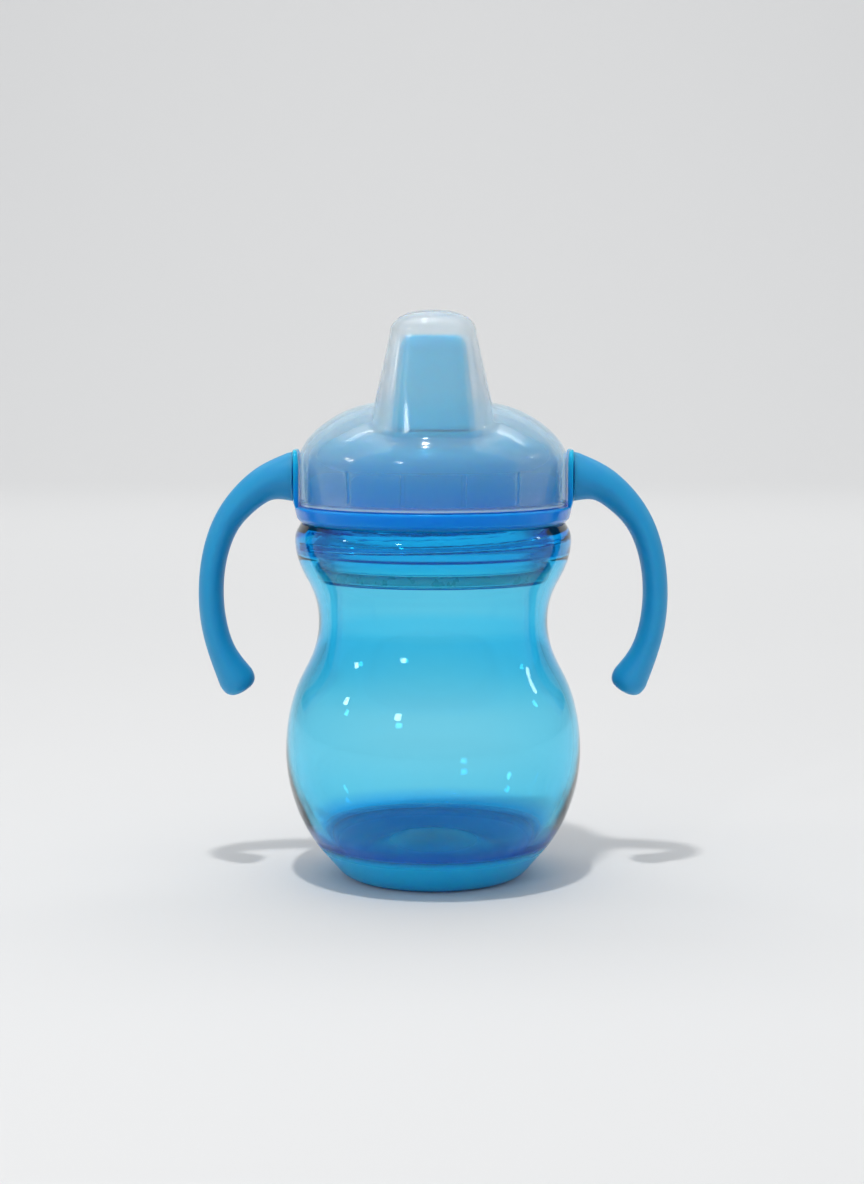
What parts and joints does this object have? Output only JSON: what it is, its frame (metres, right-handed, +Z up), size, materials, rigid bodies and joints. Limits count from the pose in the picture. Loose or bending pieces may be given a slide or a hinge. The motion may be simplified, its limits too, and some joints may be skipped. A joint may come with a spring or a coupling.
{
  "type": "sippy cup",
  "caption": "Baby training cup with side handles on a screw-on lid, a soft off-centre drinking spout with a slit valve, a seal ring and a clear lift-off cap.",
  "frame": {"origin": "centre of the base on the cup's axis, at the height of the surface the cup stands on", "axes": "+Z up along the cup's axis, X through both handles, -Y towards the spout"},
  "size_m": [0.1202, 0.0758, 0.1447],
  "materials": {
    "cup_plastic": "clear cyan-blue moulded plastic, polished, see-through",
    "lid_plastic": "translucent deep blue moulded plastic, satin",
    "cap_plastic": "clear moulded plastic, slightly milky",
    "spout_silicone": "soft matt silicone, pale blue",
    "valve_silicone": "soft whitish silicone",
    "seal_silicone": "soft grey-blue silicone"
  },
  "bodies": {
    "cup": {"cup_body": "cup_plastic"},
    "seal": {"seal_ring": "seal_silicone"},
    "lid": {"screw_lid": "lid_plastic", "handle_left": "lid_plastic", "handle_right": "lid_plastic", "soft_spout": "spout_silicone"},
    "valve": {"spill_valve": "valve_silicone"},
    "cap": {"travel_cap": "cap_plastic"}
  },
  "joints": [
    {"name": "lid_rise", "type": "slide", "parent": "cup", "child": "seal", "axis": [0, 0, 1], "range_m": [0, 0.0063]},
    {"name": "lid_turn", "type": "hinge", "parent": "seal", "child": "lid", "pos_m": [0, 0, 0.0915], "axis": [0, 0, 1], "range_deg": [0, 450]},
    {"name": "cap_lift", "type": "slide", "parent": "lid", "child": "cap", "axis": [0, 0, 1], "range_m": [0, 0.055]},
    {"name": "valve_pull", "type": "slide", "parent": "lid", "child": "valve", "axis": [0, 0, -1], "range_m": [0, 0.034]}
  ],
  "couplings": [
    {"joint": "lid_rise", "follows": "lid_turn", "m_per_rad": 0.00079577}
  ]
}
